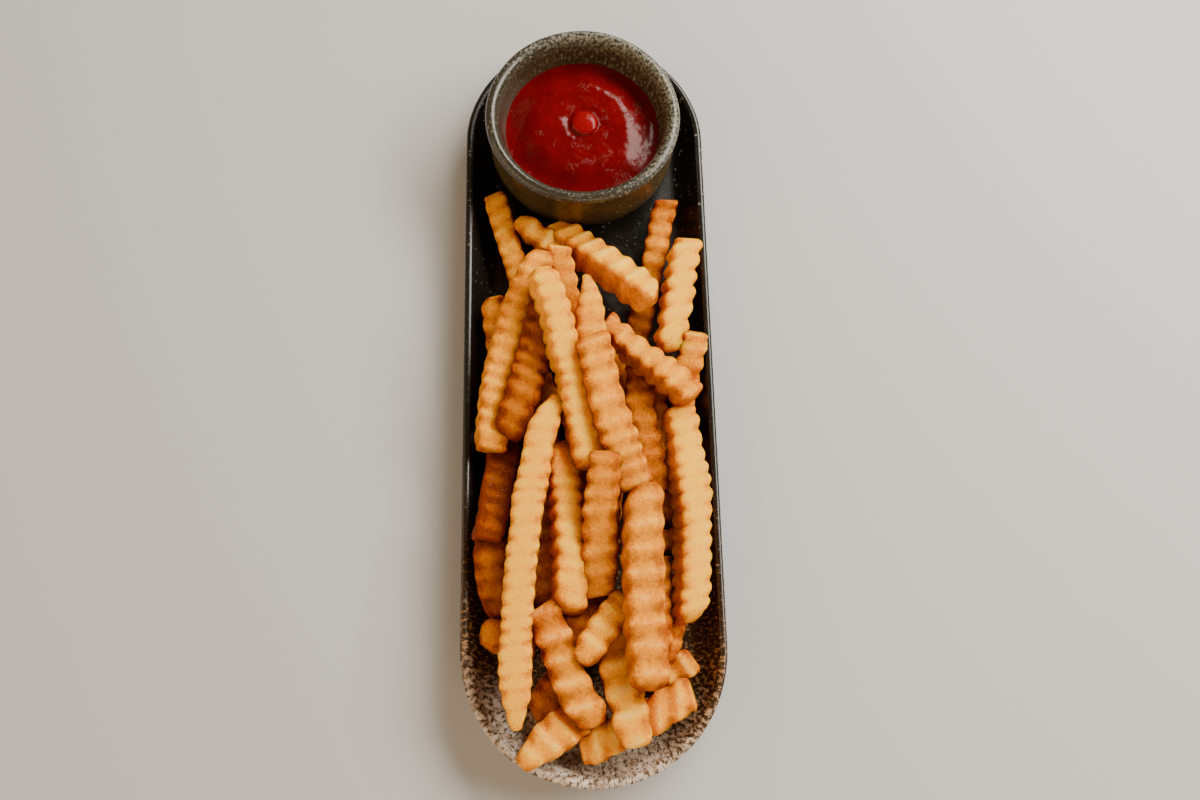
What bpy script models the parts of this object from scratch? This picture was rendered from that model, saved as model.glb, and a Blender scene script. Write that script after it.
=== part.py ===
import math

import bmesh
import bpy
from mathutils import Matrix, Vector

# A long narrow plate of crinkle-cut fries with a pot of ketchup at its far end.
# Metres, +Z up. The plate is long along Y with the pot towards +Y.
# The origin is on the table under the middle of the plate.

MM = 0.001
GAP = 0.0003

PLATE_WIDTH = 0.090
PLATE_LENGTH = 0.281
PLATE_FLOOR = 0.0046
LIP_HEIGHT = 0.0158
LIP_WIDTH = 0.0028
WALL_TOP = 0.0150
WALL_RUN = 0.0090
END_STEPS = 18

POT_CENTRE = (-0.0009, 0.0956)
POT_RIM_RADIUS = 0.0359
POT_HEIGHT = 0.0313
POT_LIP = 0.0046
POT_FOOT_RADIUS = 0.0280
POT_WELL_RADIUS = 0.0225
POT_STEPS = 40

KETCHUP_LEVEL = 0.0266
KETCHUP_RADIUS = 0.0265
KETCHUP_NUB = 0.0016
KETCHUP_STEPS = 32

CORE_WIDTH = 0.046
CORE_FAR_END = 0.052
CORE_NEAR_END = -0.119
CORE_THICKNESS = 0.0040
CORE_STEPS = 8

WAVE_PITCH = 5.4
NOTCH = 0.86
BLUNT = 0.84
TIP = 0.34
TAPER = 0.024

# Each fry in millimetres: name, middle of its far end, middle of its near end,
# sideways bow, width, height, roll in degrees, and how far each end narrows.
HIDDEN_FRIES = (
    ("deepLeftFar", (-33.5, 31, 14.5), (-32, -3, 11), 0, 9, 9, 0, BLUNT, BLUNT),
    ("deepC1", (-23.5, 18, 9.5), (-14, -10, 9.5), 0, 9, 9, 0, BLUNT, BLUNT),
    ("deepC2", (6.5, 16, 9.5), (17.5, -9, 9.5), 0, 9, 9, 0, BLUNT, BLUNT),
    ("deepC3", (-6, -0.5, 9.5), (-3, -48, 9.5), 0, 9, 9, 0, BLUNT, BLUNT),
    ("deepC4", (7.5, -17, 9.5), (5.5, -64, 9.5), 0, 9, 9, 0, BLUNT, BLUNT),
    ("deepC5", (-15, -19, 9.5), (-16, -80.5, 9.5), 0, 9, 9, 0, BLUNT, BLUNT),
    ("deepR2", (28, -19, 9.5), (26, -52, 9.5), 0, 9, 9, 0, BLUNT, BLUNT),
    ("deepR3", (35.5, -56, 12.5), (20.5, -60.5, 9.5), 0, 8, 8, 0, BLUNT, BLUNT),
    ("deepR4", (24, -65, 12), (22, -98, 20), 0, 7, 8, 0, BLUNT, BLUNT),
    ("deepC8", (0.5, -78.5, 9.5), (-9, -97.5, 13), 0, 11, 9, 0, BLUNT, BLUNT),
)
SHOWN_FRIES = (
    ("farLeft", (-33.5, 73, 14), (-21.5, 28, 9.5), 0, 9, 8.5, 5, BLUNT, BLUNT),
    ("farRight", (31, 72, 10.5), (18, 16, 9.5), 0, 9, 8.5, 0, BLUNT, BLUNT),
    ("darkLeftLow", (-34, -59.5, 16.5), (-29.5, -84.5, 10.5), 0, 12, 9, 0, BLUNT, TIP),
    ("nearLeftStub", (-36.5, -90.5, 16), (-22, -93.5, 15), 0, 11, 9, 0, BLUNT, BLUNT),
    ("nearLeftDark", (-19, -116, 10), (-9, -105, 9.5), 0, 11.5, 9, 0, BLUNT, BLUNT),
    ("nearRightStub", (33, -99, 11.5), (18.5, -106, 9.5), 0, 9, 8.5, 0, BLUNT, BLUNT),
    ("nearRightLong", (32.5, -110.5, 16), (-4.5, -129, 13.5), 0, 10, 9, 0, BLUNT, TIP),
    ("nearLeftTip", (-6, -118.5, 14), (-23, -130, 22), 0, 10, 9.5, 0, BLUNT, TIP),
    ("rightNear", (28, -82.5, 10), (24.5, -100.5, 16.5), 0, 7.5, 8, 0, BLUNT, BLUNT),
    ("darkLeftMid", (-29.5, -22.5, 11), (-36, -60, 22.5), 0, 9.5, 9, 0, BLUNT, BLUNT),
    ("farKnob", (-24, 59, 16.5), (-12, 51.5, 10.5), 0, 8, 8, 0, BLUNT, BLUNT),
    ("rightStub", (38.5, 14.5, 22), (32.5, -11.5, 12.5), 0, 9.5, 9, 0, BLUNT, BLUNT),
    ("rightTop", (36, 51, 19), (29, 7.5, 20.5), 0, 9.5, 10, 20, BLUNT, BLUNT),
    ("bigDiagonal", (-13, 59, 13), (23.5, 26, 26.5), 0, 11, 10, -40, TIP, BLUNT),
    ("shortUpright", (-10, 47.5, 22.5), (-6, 17, 12), 0, 9, 9, 0, BLUNT, BLUNT),
    ("longLeft", (-16, 44.5, 27), (-34.5, -28, 19.5), -4.5, 9.5, 9, 0, BLUNT, BLUNT),
    ("wideLeft", (-17, 29.5, 28), (-29.5, -23.5, 22.5), 2, 12.5, 10, 0, BLUNT, BLUNT),
    ("rightBackKnob", (24, -3, 14), (25, -29.5, 17), 0, 7, 8, 0, BLUNT, BLUNT),
    ("rightPointed", (16, 4, 17), (20, -38, 20.5), 0, 9.5, 9.5, 0, TIP, BLUNT),
    ("rightLong", (31, -12.5, 20), (32, -88, 19.5), 2.5, 10, 9.5, 18, BLUNT, BLUNT),
    ("rightDiagonal", (6, 16.5, 24.5), (35.5, -12, 27), 0, 10, 9.5, 10, BLUNT, BLUNT),
    ("nearMid", (8.5, -82.5, 10), (14, -127.5, 23), -1, 11, 10, 0, BLUNT, BLUNT),
    ("nearLeftKnobby", (-18, -82, 21), (0, -121, 20), -1, 11.5, 10, 0, BLUNT, BLUNT),
    ("pointed", (0, 34.5, 29), (1.5, 0.5, 28.5), 0, 9.5, 9, 0, TIP, BLUNT),
    ("slant", (9, -71, 15.5), (-4.5, -100.5, 27), 0, 10, 9.5, 0, BLUNT, BLUNT),
    ("centreTop", (0.5, 7, 36), (14.5, -43.5, 26), -1, 11, 9.5, 0, BLUNT, BLUNT),
    ("longCentre", (-16.5, 34, 37), (0, -35.5, 18), 0.5, 9, 9.5, 15, BLUNT, BLUNT),
    ("middleLeft", (-11, -25.5, 17.5), (-8, -84, 19), 1, 10, 9, 8, BLUNT, BLUNT),
    ("middle", (4.5, -32, 33), (2, -77.5, 19), 0, 9.5, 9.5, -12, BLUNT, BLUNT),
    ("longest", (-13, -10, 28), (-25, -122, 25), -5, 10, 9, 0, BLUNT, TIP),
    ("frontBig", (17, -43, 32), (17.5, -110.5, 28), -1, 11, 10, 8, BLUNT, BLUNT),
)


def remove_everything():
    for old in list(bpy.data.objects):
        bpy.data.objects.remove(old, do_unlink=True)


def plain_material(name, colour, roughness):
    material = bpy.data.materials.new(name)
    material.use_nodes = True
    shader = material.node_tree.nodes["Principled BSDF"]
    shader.inputs["Base Color"].default_value = (*colour, 1.0)
    shader.inputs["Roughness"].default_value = roughness
    shader.inputs["Metallic"].default_value = 0.0
    return material


def object_from(mesh_data, name, material):
    bmesh.ops.recalc_face_normals(mesh_data, faces=mesh_data.faces)
    mesh = bpy.data.meshes.new(name)
    mesh_data.to_mesh(mesh)
    mesh_data.free()
    mesh.materials.append(material)
    new_object = bpy.data.objects.new(name, mesh)
    bpy.context.scene.collection.objects.link(new_object)
    return new_object


def shade_round(round_object, angle):
    round_object.data.shade_smooth()
    round_object.data.set_sharp_from_angle(angle=math.radians(angle))


def skin(mesh_data, rings):
    """Joins a row of equal rings of points into one closed skin."""
    loops = [[mesh_data.verts.new(point) for point in ring] for ring in rings]
    for lower, upper in zip(loops, loops[1:]):
        count = len(lower)
        for i in range(count):
            j = (i + 1) % count
            mesh_data.faces.new((lower[i], lower[j], upper[j], upper[i]))
    mesh_data.faces.new(loops[0])
    mesh_data.faces.new(loops[-1])


def round_ended_ring(half_width, far_end, near_end, z, steps):
    """An outline with straight sides and two half-round ends, at one height."""
    ring = []
    for end, start in ((far_end - half_width, 0.0), (near_end + half_width, math.pi)):
        for i in range(steps + 1):
            angle = start + math.pi * i / steps
            ring.append((half_width * math.cos(angle), end + half_width * math.sin(angle), z))
    return ring


def plate():
    inner_wall = []
    for i in range(6):
        run = i / 5
        rise = (1 - run) ** 2
        height = PLATE_FLOOR + (WALL_TOP - PLATE_FLOOR) * rise
        inner_wall.append((LIP_WIDTH + WALL_RUN * run, height))
    profile = [
        (0.0130, 0.0),
        (0.0118, 0.0012),
        (0.0060, 0.0036),
        (0.0028, 0.0076),
        (0.0008, 0.0124),
        (0.0, 0.0146),
        (0.0006, LIP_HEIGHT - 0.0002),
        (0.0014, LIP_HEIGHT),
        (0.0022, LIP_HEIGHT - 0.0002),
    ] + inner_wall
    half_width = PLATE_WIDTH / 2
    half_length = PLATE_LENGTH / 2
    rings = []
    for inset, z in profile:
        rings.append(round_ended_ring(
            half_width - inset, half_length - inset, inset - half_length, z, END_STEPS))
    mesh_data = bmesh.new()
    skin(mesh_data, rings)
    glaze = plain_material("darkGlaze", (0.030, 0.026, 0.022), 0.35)
    shade_round(object_from(mesh_data, "plate", glaze), 40)


def turned(name, profile, steps, material):
    """Turns a profile of (radius, height) about the pot's upright axis."""
    mesh_data = bmesh.new()
    verts = [mesh_data.verts.new((radius, 0, z)) for radius, z in profile]
    edges = [mesh_data.edges.new(pair) for pair in zip(verts, verts[1:])]
    bmesh.ops.spin(
        mesh_data, geom=verts + edges, cent=(0, 0, 0), axis=(0, 0, 1),
        angle=2 * math.pi, steps=steps, use_merge=True)
    bmesh.ops.remove_doubles(mesh_data, verts=mesh_data.verts, dist=0.00001)
    bmesh.ops.translate(mesh_data, verts=mesh_data.verts, vec=(*POT_CENTRE, 0))
    return object_from(mesh_data, name, material)


def well_radius(z):
    """The pot's inner wall, from its rounded well up to its lip."""
    rise = (z - POT_BASE - 0.004) / (POT_BASE + POT_HEIGHT - POT_BASE - 0.004)
    return POT_WELL_RADIUS + (POT_RIM_RADIUS - POT_LIP - POT_WELL_RADIUS) * rise ** 0.55


POT_BASE = PLATE_FLOOR + GAP


def pot():
    top = POT_BASE + POT_HEIGHT
    radius = POT_RIM_RADIUS
    inner = radius - POT_LIP
    outside = [
        (0.0, POT_BASE),
        (POT_FOOT_RADIUS, POT_BASE),
        (radius - 0.0046, POT_BASE + 0.0030),
        (radius - 0.0020, POT_BASE + 0.0072),
        (radius - 0.0010, POT_BASE + 0.0125),
        (radius - 0.0012, POT_BASE + 0.0200),
        (radius - 0.0009, POT_BASE + 0.0262),
        (radius, top - 0.0026),
    ]
    lip = [
        (radius - 0.0006, top - 0.0007),
        (radius - 0.0022, top),
        (inner + 0.0010, top - 0.0008),
    ]
    inside = []
    for height in (0.0026, 0.0060, 0.0105, 0.0150, 0.0205, 0.0255):
        inside.append((well_radius(top - height), top - height))
    inside.append((0.0, inside[-1][1]))
    glaze = plain_material("potGlaze", (0.105, 0.085, 0.055), 0.4)
    shade_round(turned("pot", outside + lip + inside, POT_STEPS, glaze), 50)


def ketchup():
    level = KETCHUP_LEVEL
    bottom = POT_BASE + POT_HEIGHT - 0.0255 + GAP
    middle = (level + bottom) / 2
    profile = [
        (0.0, bottom),
        (well_radius(bottom) - 2 * GAP, bottom),
        (well_radius(middle) - 2 * GAP, middle),
        (well_radius(level - 0.0004) - 2 * GAP, level - 0.0004),
        (KETCHUP_RADIUS - 0.0016, level),
        (0.0150, level + 0.0004),
        (0.0050, level + 0.0004),
        (0.0028, level + 0.0007),
        (0.0016, level + KETCHUP_NUB),
        (0.0, level + KETCHUP_NUB + 0.0002),
    ]
    sauce = plain_material("ketchupRed", (0.42, 0.012, 0.008), 0.15)
    shade_round(turned("ketchup", profile, KETCHUP_STEPS, sauce), 60)


def fry_ring(centre, side, up, width, height):
    corners = ((-0.5, -0.5), (0.5, -0.5), (0.5, 0.5), (-0.5, 0.5))
    return [centre + side * (width * a) + up * (height * b) for a, b in corners]


def narrowing(end_scale, distance):
    """How much a fry is narrowed at a distance from an end: a low end scale is a long point."""
    reach = TAPER * (1 - end_scale)
    return end_scale ** (max(0.0, 1 - distance / reach) ** 1.5)


def fry(row, waves, material):
    """One four-sided fry with a notch between its waves, narrower at its ends."""
    name, far, near, bow, width, height, roll, far_scale, near_scale = row
    far = Vector(far) * MM
    near = Vector(near) * MM
    along = (near - far).normalized()
    level_side = along.cross(Vector((0, 0, 1))).normalized()
    turn = Matrix.Rotation(math.radians(roll), 3, along)
    side = turn @ level_side
    up = turn @ level_side.cross(along)
    length = (near - far).length
    count = 2 * waves
    rings = []
    for i in range(count + 1):
        t = i / count
        sway = -level_side * (bow * MM * 4 * t * (1 - t))
        scale = 1.0 if i % 2 else NOTCH
        if i == 0 or i == count:
            scale = 1.0
        scale *= narrowing(far_scale, t * length) * narrowing(near_scale, (1 - t) * length)
        centre = far.lerp(near, t) + sway
        rings.append(fry_ring(centre, side, up, width * MM * scale, height * MM * scale))
    mesh_data = bmesh.new()
    skin(mesh_data, rings)
    return object_from(mesh_data, name, material)


def core(material):
    """The low bed of broken fries that ties the heap together, all under it."""
    bottom = PLATE_FLOOR + GAP
    half_width = CORE_WIDTH / 2
    mesh_data = bmesh.new()
    rings = []
    for inset, z in ((0.0, bottom), (0.0, bottom + 0.003), (0.003, bottom + CORE_THICKNESS)):
        rings.append(round_ended_ring(
            half_width - inset, CORE_FAR_END - inset, CORE_NEAR_END + inset, z, CORE_STEPS))
    skin(mesh_data, rings)
    return object_from(mesh_data, "fries", material)


def fuse(body, pieces):
    """One Boolean union of the body with all the pieces, applied."""
    collection = bpy.data.collections.new("piecesToFuse")
    bpy.context.scene.collection.children.link(collection)
    for piece in pieces:
        bpy.context.scene.collection.objects.unlink(piece)
        collection.objects.link(piece)
    union = body.modifiers.new("union", "BOOLEAN")
    union.operation = "UNION"
    union.operand_type = "COLLECTION"
    union.collection = collection
    union.solver = "EXACT"
    evaluated = body.evaluated_get(bpy.context.evaluated_depsgraph_get())
    fused = bpy.data.meshes.new_from_object(evaluated)
    body.modifiers.clear()
    body.data = fused
    for piece in pieces:
        bpy.data.objects.remove(piece, do_unlink=True)
    bpy.data.collections.remove(collection)


def keep_outer_shell(body):
    """Drops sealed hollows and loose scraps, so that one closed skin is left."""
    mesh_data = bmesh.new()
    mesh_data.from_mesh(body.data)
    bmesh.ops.dissolve_degenerate(mesh_data, dist=0.00001, edges=mesh_data.edges)
    bmesh.ops.triangulate(mesh_data, faces=mesh_data.faces)
    shells = []
    unseen = set(mesh_data.faces)
    while unseen:
        shell = {unseen.pop()}
        edge_of_shell = list(shell)
        while edge_of_shell:
            face = edge_of_shell.pop()
            for edge in face.edges:
                for other in edge.link_faces:
                    if other in unseen:
                        unseen.remove(other)
                        shell.add(other)
                        edge_of_shell.append(other)
        shells.append(shell)
    shells.sort(key=lambda shell: sum(face.calc_area() for face in shell))
    for shell in shells[:-1]:
        bmesh.ops.delete(mesh_data, geom=list(shell), context="FACES")
    mesh_data.to_mesh(body.data)
    mesh_data.free()


def fries():
    potato = plain_material("friedPotato", (0.80, 0.42, 0.09), 0.55)
    pieces = [fry(row, 1, potato) for row in HIDDEN_FRIES]
    for row in SHOWN_FRIES:
        length = (Vector(row[1]) - Vector(row[2])).length
        pieces.append(fry(row, max(2, round(length / WAVE_PITCH)), potato))
    body = core(potato)
    fuse(body, pieces)
    keep_outer_shell(body)


def main():
    remove_everything()
    plate()
    pot()
    ketchup()
    fries()


main()
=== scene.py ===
import math
import random

import bpy
import numpy as np
from mathutils import Matrix, Vector, noise
from mathutils.bvhtree import BVHTree


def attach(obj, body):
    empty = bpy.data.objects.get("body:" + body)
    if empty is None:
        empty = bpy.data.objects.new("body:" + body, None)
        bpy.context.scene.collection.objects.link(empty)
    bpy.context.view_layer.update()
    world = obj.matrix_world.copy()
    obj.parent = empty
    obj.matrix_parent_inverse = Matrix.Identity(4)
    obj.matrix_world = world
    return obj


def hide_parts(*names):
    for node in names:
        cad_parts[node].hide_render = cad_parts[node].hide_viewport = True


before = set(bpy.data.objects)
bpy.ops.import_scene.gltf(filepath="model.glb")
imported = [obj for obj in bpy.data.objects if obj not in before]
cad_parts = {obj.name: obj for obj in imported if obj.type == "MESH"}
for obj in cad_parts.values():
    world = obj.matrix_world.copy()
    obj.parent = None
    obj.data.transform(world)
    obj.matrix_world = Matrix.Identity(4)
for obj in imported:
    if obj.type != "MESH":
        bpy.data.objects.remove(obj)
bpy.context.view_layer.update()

mm = 0.001


# Small helpers for node trees.

def plug(tree, value, socket):
    if isinstance(value, bpy.types.NodeSocket):
        tree.links.new(value, socket)
    else:
        socket.default_value = value


def addNode(tree, kind, values=None, **settings):
    node = tree.nodes.new(kind)
    count = len(tree.nodes)
    node.location = (count % 9 * 210, -(count // 9) * 270)
    for name, value in settings.items():
        setattr(node, name, value)
    for socket, value in (values or {}).items():
        plug(tree, value, node.inputs[socket])
    return node


def fromNode(tree, kind, values=None, **settings):
    return addNode(tree, kind, values, **settings).outputs[0]


def calc(tree, operation, *values, clamp=False):
    values = dict(enumerate(values))
    return fromNode(tree, "ShaderNodeMath", values, operation=operation, use_clamp=clamp)


def plus(tree, a, b):
    return calc(tree, "ADD", a, b)


def minus(tree, a, b, clamp=False):
    return calc(tree, "SUBTRACT", a, b, clamp=clamp)


def times(tree, a, b, clamp=False):
    return calc(tree, "MULTIPLY", a, b, clamp=clamp)


def vectorCalc(tree, operation, *values):
    return fromNode(tree, "ShaderNodeVectorMath", dict(enumerate(values)), operation=operation)


def stretched(tree, vector, factor):
    values = {"Vector": vector, "Scale": factor}
    return fromNode(tree, "ShaderNodeVectorMath", values, operation="SCALE")


def axes(tree, vector):
    return addNode(tree, "ShaderNodeSeparateXYZ", {0: vector}).outputs


def span(tree, value, low, high, fromValue=0.0, toValue=1.0):
    # Carries low to fromValue and high to toValue, and holds both ends.
    return fromNode(
        tree, "ShaderNodeMapRange",
        {"Value": value, "From Min": low, "From Max": high, "To Min": fromValue, "To Max": toValue},
        clamp=True)


# Small helpers for meshes.

def newObject(name, data):
    made = bpy.data.objects.new(name, data)
    bpy.context.scene.collection.objects.link(made)
    return made


def newMesh(name, points, faces, smooth=True):
    mesh = bpy.data.meshes.new(name)
    mesh.from_pydata(points, [], faces)
    mesh.validate()
    if smooth:
        mesh.shade_smooth()
    return newObject(name, mesh)


def setPointValues(mesh, name, values, kind="FLOAT", field="value"):
    layer = mesh.attributes.new(name, kind, "POINT")
    layer.data.foreach_set(field, np.asarray(values, dtype=np.float32).ravel())


def readArray(items, field, width, kind=np.float32):
    values = np.empty(len(items) * width, dtype=kind)
    items.foreach_get(field, values)
    return values.reshape(-1, width)


def turnOutward(mesh):
    # A closed mesh whose volume comes out negative is inside out.
    mesh.calc_loop_triangles()
    corners = readArray(mesh.loop_triangles, "vertices", 3, np.int32)
    a, b, c = readArray(mesh.vertices, "co", 3)[corners].transpose(1, 0, 2)
    if np.einsum("ij,ij->", a, np.cross(b, c)) < 0:
        mesh.flip_normals()


def smoothThrough(points, steps):
    # A Catmull-Rom curve through the points, ends included.
    padded = [points[0]] + list(points) + [points[-1]]
    curve = []
    for a, b, c, d in zip(padded, padded[1:], padded[2:], padded[3:]):
        for i in range(steps):
            t = i / steps
            curve.append(tuple(
                0.5 * (2 * q + (r - p) * t + (2 * p - 5 * q + 4 * r - s) * t ** 2
                       + (3 * q - p - 3 * r + s) * t ** 3)
                for p, q, r, s in zip(a, b, c, d)))
    curve.append(tuple(points[-1]))
    return curve


def ripple(seed, angle, waves=(2, 3, 5, 7)):
    # A closed uneven wave round a rim, about -1 to 1.
    draw = random.Random(seed)
    total = 0.0
    for wave in waves:
        total += math.sin(wave * angle + draw.uniform(0, 2 * math.pi)) / wave
    return total


def eased(low, high, value):
    # A soft step from 0 at low to 1 at high.
    t = min(1.0, max(0.0, (value - low) / (high - low)))
    return t * t * (3 - 2 * t)


def turnAngles(count):
    return [2 * math.pi * i / count for i in range(count)]


def runsAlong(points):
    # Distances from the first point, measured along the line.
    runs = [0.0]
    for a, b in zip(points, points[1:]):
        runs.append(runs[-1] + math.dist(a, b))
    return runs


def closedRings(ringCount, pointCount):
    # Faces between one ring of points and the next, with a lid on the first ring and on the last.
    faces = []
    for ring in range(ringCount - 1):
        low = ring * pointCount
        for i in range(pointCount):
            j = (i + 1) % pointCount
            faces.append((low + i, low + j, low + pointCount + j, low + pointCount + i))
    faces.append(tuple(reversed(range(pointCount))))
    faces.append(tuple(range((ringCount - 1) * pointCount, ringCount * pointCount)))
    return faces


def paintUv(mesh, outline, runs, count):
    # U runs round the outline and V along the profile, both in metres.
    layer = mesh.uv_layers.new(name="UVMap")
    corners = readArray(mesh.loops, "vertex_index", 1, np.int32).ravel()
    u = np.asarray(outline)[corners % count]
    v = np.asarray(runs)[np.minimum(corners // count, len(runs) - 1)]
    layer.data.foreach_set("uv", np.column_stack((u, v)).astype(np.float32).ravel())


# Camera, floor and lights.

# The camera looks down at the plate from its near end, a little from the left.
cameraView = {
    "target": (4.32 * mm, -3.43 * mm, 0.0),
    "distance": 444.15 * mm,
    "elevation": 72.46,
    "azimuth": -6.14,
    "roll": 5.17,
    "lens": 36.0,      # with a 36 mm sensor this is the photo's angle of view
    "sensor": 36.0,
}


def placeCamera():
    elevation = math.radians(cameraView["elevation"])
    azimuth = math.radians(cameraView["azimuth"])
    roll = math.radians(cameraView["roll"])
    back = Vector((
        math.sin(azimuth) * math.cos(elevation),
        -math.cos(azimuth) * math.cos(elevation),
        math.sin(elevation)))
    level = Vector((math.cos(azimuth), math.sin(azimuth), 0))
    upright = back.cross(level)
    right = level * math.cos(roll) + upright * math.sin(roll)
    up = back.cross(right)
    turn = Matrix((right, up, back)).transposed().to_4x4()
    data = bpy.data.cameras.new("photoCamera")
    data.lens = cameraView["lens"]
    data.sensor_width = cameraView["sensor"]
    data.clip_start = 0.01
    camera = newObject("photoCamera", data)
    place = Vector(cameraView["target"]) + back * cameraView["distance"]
    camera.matrix_world = Matrix.Translation(place) @ turn
    bpy.context.scene.camera = camera


studio = {
    "worldColour": (1.0, 0.74, 0.48, 1.0),
    "worldStrength": 0.22,
    "floorColour": (0.44, 0.452, 0.472, 1.0),
    "floorSize": 12.0,
    "floorDrop": 0.2 * mm,
    "floorRoughness": 0.75,
    # name, direction it shines from, distance, width, height, watts, colour
    "lights": (
        ("keySoftbox", (0.61, 0.41, 0.70), 0.95, 1.20, 0.36, 26.0, (1.0, 0.95, 0.84)),
        ("fillSoftbox", (-0.80, -0.25, 0.48), 1.80, 2.20, 1.60, 24.0, (1.0, 0.72, 0.44)),
        ("frontSoftbox", (0.10, -0.88, 0.42), 1.60, 1.60, 1.20, 13.0, (1.0, 0.76, 0.50)),
    ),
}


def lightStudio():
    world = bpy.data.worlds.new("studioWorld")
    world.use_nodes = True
    backdrop = world.node_tree.nodes["Background"]
    backdrop.inputs["Color"].default_value = studio["worldColour"]
    backdrop.inputs["Strength"].default_value = studio["worldStrength"]
    bpy.context.scene.world = world
    for name, direction, distance, width, height, watts, colour in studio["lights"]:
        data = bpy.data.lights.new(name, "AREA")
        data.shape = "RECTANGLE"
        data.size = width
        data.size_y = height
        data.energy = watts
        data.color = colour
        light = newObject(name, data)
        place = Vector(direction).normalized() * distance
        light.location = place
        light.rotation_euler = place.to_track_quat("Z", "Y").to_euler()


def layFloor():
    half = studio["floorSize"] / 2
    corners = ((-half, -half, 0), (half, -half, 0), (half, half, 0), (-half, half, 0))
    floor = newMesh("paleFloor", corners, [(0, 1, 2, 3)], smooth=False)
    floor.location.z = -studio["floorDrop"]
    material, tree, shader = newMaterial("paleFloorPaint")
    paint(tree, shader, {"Base Color": studio["floorColour"], "Roughness": studio["floorRoughness"]})
    floor.data.materials.append(material)


# What the materials share.

def newMaterial(name):
    material = bpy.data.materials.new(name)
    material.use_nodes = True
    tree = material.node_tree
    return material, tree, tree.nodes["Principled BSDF"]


def paint(tree, shader, values):
    for socket, value in values.items():
        plug(tree, value, shader.inputs[socket])


def ramp(tree, factor, stops):
    node = addNode(tree, "ShaderNodeValToRGB", {"Fac": factor})
    elements = node.color_ramp.elements
    while len(elements) < len(stops):
        elements.new(0.5)
    for element, (position, colour) in zip(elements, stops):
        element.position = position
        element.color = (*colour, 1.0)
    return node.outputs[0]


def mixColour(tree, factor, a, b, blend="MIX"):
    node = addNode(tree, "ShaderNodeMix", data_type="RGBA", blend_type=blend)
    for i, value in ((0, factor), (6, a), (7, b)):
        if isinstance(value, tuple) and len(value) == 3:
            value = (*value, 1.0)
        plug(tree, value, node.inputs[i])
    return node.outputs[2]


def objectCoords(tree):
    return addNode(tree, "ShaderNodeTexCoord").outputs["Object"]


def attribute(tree, name, output="Fac"):
    return addNode(tree, "ShaderNodeAttribute", attribute_name=name).outputs[output]


def drawnOutUv(tree, factor):
    # The piece's own UV map, on which patterns are drawn out along the profile.
    uv = fromNode(tree, "ShaderNodeUVMap")
    return fromNode(tree, "ShaderNodeMapping", {"Vector": uv, "Scale": (1.0, factor, 1.0)})


def cloud(tree, coords, values):
    return fromNode(tree, "ShaderNodeTexNoise", {"Vector": coords, **values})


def bumped(tree, height, values):
    return fromNode(tree, "ShaderNodeBump", {"Height": height, **values})


def newEffect(name, inputs, output):
    # An effect that several materials use: a group with its sockets, and what it is given.
    tree = bpy.data.node_groups.new(name, "ShaderNodeTree")
    for socket in inputs:
        kind = "NodeSocketVector" if socket == "Vector" else "NodeSocketFloat"
        tree.interface.new_socket(socket, in_out="INPUT", socket_type=kind)
    tree.interface.new_socket(output, in_out="OUTPUT", socket_type="NodeSocketFloat")
    return tree, addNode(tree, "NodeGroupInput").outputs


def buildUnevenPatches():
    # Patches and gaps of one size, from broad blotches to fine grain.
    noiseInputs = ("Vector", "Scale", "W", "Detail")
    tree, given = newEffect("unevenPatches", noiseInputs + ("Low", "High"), "Mask")
    values = {name: given[name] for name in noiseInputs}
    pattern = fromNode(tree, "ShaderNodeTexNoise", {**values, "Roughness": 0.55}, noise_dimensions="4D")
    addNode(tree, "NodeGroupOutput", {"Mask": span(tree, pattern, given["Low"], given["High"])})
    return tree


def buildGlazeFlecks():
    # Flecks stand wherever a cloud passes the least value.
    tree, given = newEffect("glazeFlecks", ("Cloud", "Least", "Contrast"), "Flecks")
    past = minus(tree, given["Cloud"], given["Least"])
    flecks = times(tree, past, given["Contrast"], clamp=True)
    addNode(tree, "NodeGroupOutput", {"Flecks": flecks})
    return tree


unevenPatches = buildUnevenPatches()
glazeFlecks = buildGlazeFlecks()


def noiseMask(tree, coords, scale, low, high, w=0.0, detail=3.0):
    values = {"Vector": coords, "Scale": scale, "W": w, "Detail": detail, "Low": low, "High": high}
    return fromNode(tree, "ShaderNodeGroup", values, node_tree=unevenPatches)


def flecked(tree, cloudy, least, contrast):
    values = {"Cloud": cloudy, "Least": least, "Contrast": contrast}
    return fromNode(tree, "ShaderNodeGroup", values, node_tree=glazeFlecks)


# The fries.

# How each cut is ridged, in millimetres: wave length, ridge depth on the sides and on top and
# below, and how narrow the notches are: below 1 they are narrower than the ridges.
fryCuts = {
    "smooth": {"pitch": 5.6, "sideDepth": 0.60, "topDepth": 0.28, "fullness": 0.56},
    "fine": {"pitch": 5.5, "sideDepth": 1.15, "topDepth": 0.16, "fullness": 0.50},
    "even": {"pitch": 6.3, "sideDepth": 1.00, "topDepth": 0.34, "fullness": 0.55},
    "jagged": {"pitch": 6.4, "sideDepth": 1.45, "topDepth": 0.30, "fullness": 0.50},
    "bumpy": {"pitch": 6.8, "sideDepth": 1.00, "topDepth": 0.90, "fullness": 0.60},
    "banded": {"pitch": 8.4, "sideDepth": 0.80, "topDepth": 0.50, "fullness": 0.66},
    "knobby": {"pitch": 8.6, "sideDepth": 1.35, "topDepth": 1.10, "fullness": 0.75},
}


# How a fry ends, in millimetres: how far it narrows, over what length, and its edge rounding.
fryEnds = {
    "cut": {"scale": 0.90, "reach": 4.0, "round": 0.9},
    "round": {"scale": 0.80, "reach": 7.0, "round": 3.2},
    "tip": {"scale": 0.30, "reach": 14.0, "round": 1.4},
    "wedge": {"scale": 0.64, "reach": 7.0, "round": 1.5},
    "hooked": {"scale": 0.48, "reach": 13.0, "round": 1.8},
}


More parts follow.
